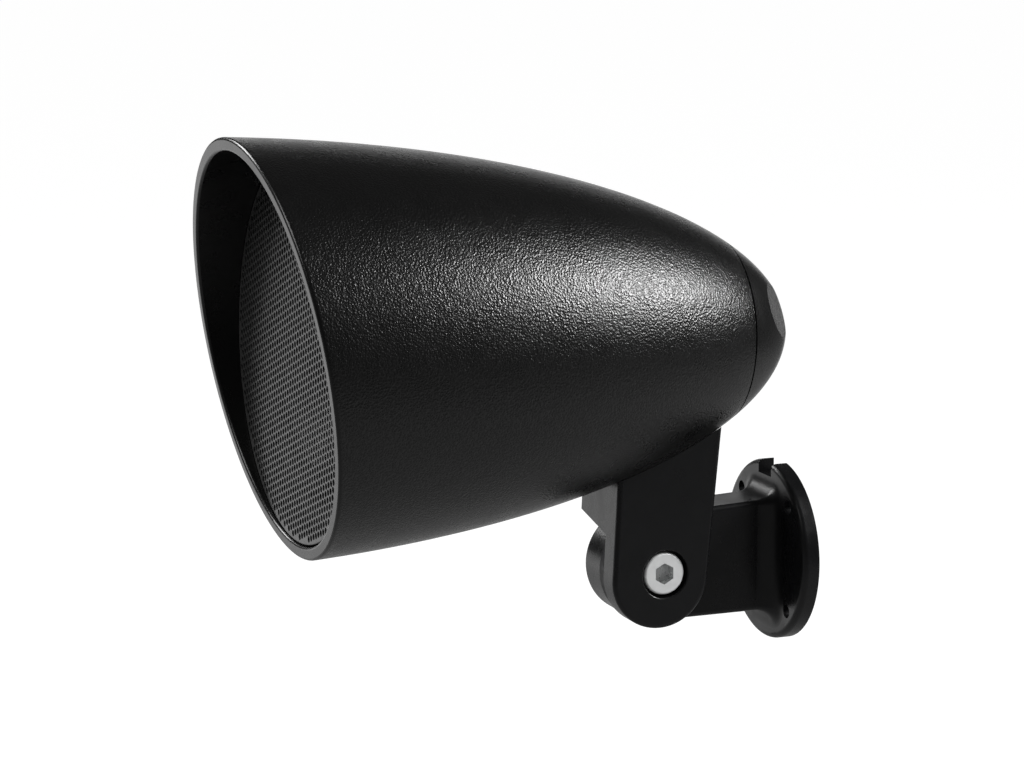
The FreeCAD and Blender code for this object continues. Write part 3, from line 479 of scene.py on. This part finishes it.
copper, tree, shader, place = new_finish("copper", metallic=1.0)
colour_cloud(tree, shader, place, size=0.004, dark=(0.55, 0.21, 0.09), light=(0.74, 0.33, 0.16))
sheen_patches(tree, shader, place, size=0.002, smooth=0.25, rough=0.38)
relief(tree, shader, bands(tree, place, "Y", wire_pitch), strength=0.6, depth=0.0002)
dress("voice_coil", copper)

# Motor: a ferrite ring between a steel top plate and the back plate with its pole.
# The plates are turned and zinc plated, the ferrite is pressed and fired, dull grey-black.

plate_steel, tree, shader, place = new_finish("plate_steel", metallic=1.0)
colour_cloud(tree, shader, place, size=0.005, dark=(0.34, 0.35, 0.36), light=(0.50, 0.51, 0.52))
sheen_patches(tree, shader, place, size=0.0015, smooth=0.34, rough=0.5, corner_polish=0.1)
fine_grain(tree, shader, place, size=0.0005, strength=0.25, depth=0.00008)
for node in ("top_plate", "pole_piece"):
    dress(node, plate_steel)

ferrite, tree, shader, place = new_finish("ferrite", specular=0.3)
colour_cloud(tree, shader, place, size=0.002, detail=6.0,
             dark=(0.018, 0.018, 0.019), light=(0.045, 0.044, 0.043))
sheen_patches(tree, shader, place, size=0.002, smooth=0.65, rough=0.82)
fine_grain(tree, shader, place, size=0.0007, strength=0.6, depth=0.0002, detail=6.0)
for node in ("magnet", "tweeter_magnet"):
    dress(node, ferrite)

# Tweeter: a small moulded housing on a post through the pole, with a doped silk dome.
# The housing is satin black, the dome shows its weave under a tacky coat.

dome_thread = 0.0004

tweeter_black, tree, shader, place = new_finish("tweeter_black", specular=0.4)
colour_cloud(tree, shader, place, size=0.006, dark=(0.006, 0.006, 0.007), light=(0.013, 0.013, 0.014))
sheen_patches(tree, shader, place, size=0.003, smooth=0.4, rough=0.5, corner_polish=0.1)
fine_grain(tree, shader, place, size=0.0005, strength=0.3, depth=0.0001)
dress("tweeter_housing", tweeter_black)

dome_cloth, tree, shader, place = new_finish("dome_cloth", specular=0.3)
sheen_patches(tree, shader, place, size=0.002, smooth=0.5, rough=0.65)
threads = woven(tree, place, dome_thread)
silk_black = tint(tree, threads, dark=(0.008, 0.008, 0.009), light=(0.02, 0.02, 0.022))
tree.links.new(silk_black, shader.inputs["Base Color"])
relief(tree, shader, threads, strength=0.4, depth=0.00008)
dress("tweeter_dome", dome_cloth)

# Crossover: a glass-epoxy board with one coil, one film capacitor and one cement resistor.
# Green solder mask over woven glass; the coil is bare enamelled wire, its turns side by side.

glass_thread = 0.0008

board_green, tree, shader, place = new_finish("board_green", specular=0.45)
colour_cloud(tree, shader, place, size=0.004, dark=(0.012, 0.085, 0.035), light=(0.025, 0.14, 0.06))
sheen_patches(tree, shader, place, size=0.003, smooth=0.3, rough=0.42)
relief(tree, shader, woven(tree, place, glass_thread), strength=0.2, depth=0.00006)
dress("crossover_board", board_green)
dress("inductor", copper)

component_sleeve, tree, shader, place = new_finish("component_sleeve")
colour_cloud(tree, shader, place, size=0.005, dark=(0.35, 0.045, 0.03), light=(0.48, 0.075, 0.045))
sheen_patches(tree, shader, place, size=0.003, smooth=0.25, rough=0.4)
fine_grain(tree, shader, place, size=0.0015, strength=0.2, depth=0.0001)
dress("capacitor", component_sleeve)

component_ceramic, tree, shader, place = new_finish("component_ceramic", specular=0.2)
colour_cloud(tree, shader, place, size=0.002, detail=6.0,
             dark=(0.55, 0.53, 0.48), light=(0.74, 0.72, 0.67))
sheen_patches(tree, shader, place, size=0.002, smooth=0.75, rough=0.9)
fine_grain(tree, shader, place, size=0.0006, strength=0.5, depth=0.00015, detail=6.0)
dress("resistor", component_ceramic)

# Stage: a pale floor well below the bracket and an even white surround.
# A soft lamp stands behind the near side, one ahead of the far side and a wide one in front.
# The black body mirrors white paper on one side only, so that its other faces stay black.

paper_side = (-0.913, 0.407, 0)
paper_edge, paper_full = 0.93, 0.99
beside_paper = 0.05
room_light = 0.5
floor_height = -0.3
floor_half = 8
floor_grey = (0.22, 0.22, 0.22, 1)
floor_glow = 0.88
far_side = (-1, 0, 0)
far_floor_starts, far_floor_full = 0.4, 1.4
paper_end = (-0.407, -0.913, 0)
paper_end_starts, paper_end_full = -0.38, -0.22
body_middle = Vector((0, -0.11, 0.075))


def mirrored_rays(tree):
    path = tree.nodes.new("ShaderNodeLightPath")
    return combine(tree, "MAXIMUM", path.outputs["Is Glossy Ray"], path.outputs["Is Transmission Ray"])


def white_to_view(tree, mirrored, share):
    in_view = tree.nodes.new("ShaderNodeLightPath").outputs["Is Camera Ray"]
    return combine(tree, "MAXIMUM", in_view, combine(tree, "MULTIPLY", mirrored, share))


def direction_from(azimuth, elevation):
    turn = math.radians(azimuth)
    rise = math.radians(elevation)
    return Vector((math.sin(turn) * math.cos(rise), -math.cos(turn) * math.cos(rise), math.sin(rise)))


def soft_lamp(name, azimuth, elevation, distance, width, height, power):
    lamp = bpy.data.lights.new(name, "AREA")
    lamp.shape = "RECTANGLE"
    lamp.size = width
    lamp.size_y = height
    lamp.energy = power
    holder = bpy.data.objects.new(name, lamp)
    bpy.context.scene.collection.objects.link(holder)
    way = direction_from(azimuth, elevation)
    holder.location = body_middle + distance * way
    holder.rotation_euler = way.to_track_quat("Z", "Y").to_euler()


world = bpy.data.worlds.new("studio")
bpy.context.scene.world = world
world.use_nodes = True
tree = world.node_tree
surround = tree.nodes["Background"]
surround.inputs["Color"].default_value = (1, 1, 1, 1)
facing_paper = along(tree, tree.nodes.new("ShaderNodeTexCoord").outputs["Generated"], paper_side)
paper_share = spread(tree, facing_paper, paper_edge, paper_full, beside_paper, 1.0)
mirrored = mirrored_rays(tree)
seen = white_to_view(tree, mirrored, paper_share)
room = spread(tree, mirrored, 0.0, 1.0, room_light, 0.0)
tree.links.new(combine(tree, "MAXIMUM", seen, room), surround.inputs["Strength"])

floor_corners = [(-floor_half, -floor_half, floor_height), (floor_half, -floor_half, floor_height),
                 (floor_half, floor_half, floor_height), (-floor_half, floor_half, floor_height)]
floor_mesh = bpy.data.meshes.new("floor")
floor_mesh.from_pydata(floor_corners, [], [(0, 1, 2, 3)])
floor = bpy.data.objects.new("floor", floor_mesh)
bpy.context.scene.collection.objects.link(floor)
floor_white, tree, shader, place = new_finish("floor_white", specular=0.0)
shader.inputs["Base Color"].default_value = floor_grey
shader.inputs["Roughness"].default_value = 0.9
shader.inputs["Emission Color"].default_value = (1, 1, 1, 1)
outward = tree.nodes.new("ShaderNodeVectorMath")
outward.operation = "NORMALIZE"
tree.links.new(multiplied(tree, place, (1, 1, 0)), outward.inputs[0])
towards_end = along(tree, outward.outputs["Vector"], paper_end)
far_floor = spread(tree, along(tree, place, far_side), far_floor_starts, far_floor_full, 0.0, 1.0)
ahead_of_end = spread(tree, towards_end, paper_end_starts, paper_end_full, 0.0, 1.0)
lit_floor = combine(tree, "MULTIPLY", far_floor, ahead_of_end)
seen = white_to_view(tree, mirrored_rays(tree), lit_floor)
tree.links.new(spread(tree, seen, 0.0, 1.0, 0.0, floor_glow), shader.inputs["Emission Strength"])
floor_mesh.materials.append(floor_white)

soft_lamp("side_lamp", azimuth=157.5, elevation=27, distance=1.4, width=0.28, height=0.45, power=21.5)
soft_lamp("far_lamp", azimuth=-60, elevation=30, distance=1.6, width=0.6, height=0.6, power=14)
soft_lamp("front_lamp", azimuth=10, elevation=45, distance=2.0, width=1.0, height=1.0, power=18)

# Camera: a long lens at the photograph's place, a little above the body and ahead of its near side.
# Its place and focal length come from a fit to the outline, the rim, the seam and the flange.

view_target = Vector((0, -0.10184, 0.06584))
view_distance = 1.15534
towards = direction_from(azimuth=68.226, elevation=10.628)
lens = bpy.data.cameras.new("camera")
lens.sensor_width = 36
lens.lens = 119.53
camera = bpy.data.objects.new("camera", lens)
bpy.context.scene.collection.objects.link(camera)
camera.location = view_target + view_distance * towards
camera.rotation_euler = towards.to_track_quat("Z", "Y").to_euler()
bpy.context.scene.camera = camera
bpy.context.scene.view_settings.view_transform = "Standard"
